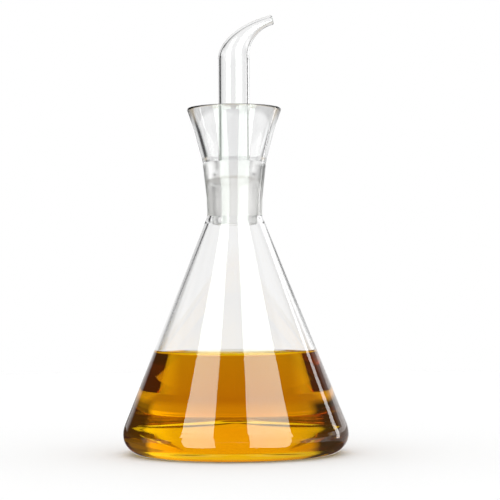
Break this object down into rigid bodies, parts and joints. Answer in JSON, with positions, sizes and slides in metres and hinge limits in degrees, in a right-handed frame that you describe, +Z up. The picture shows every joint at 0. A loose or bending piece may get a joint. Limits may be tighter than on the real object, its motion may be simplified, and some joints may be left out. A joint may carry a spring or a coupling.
{
  "type": "oil cruet with pouring stopper",
  "caption": "Conical clear glass flask with a funnel mouth and a bent pouring tube on a ground stopper, part filled with olive oil.",
  "frame": {"origin": "middle of the base, on the table", "axes": "+Z up along the flask's axis, +X the way the spout points"},
  "size_m": [0.0924, 0.0924, 0.18],
  "materials": {
    "clear_glass": "clear polished blown glass, ground matt inside the neck",
    "stopper_glass": "clear polished tube on a matt ground plug",
    "olive_oil": "clear golden oil with a smooth surface"
  },
  "bodies": {
    "root": {"flask": "clear_glass", "pourer": "stopper_glass", "oil": "olive_oil"}
  },
  "joints": []
}
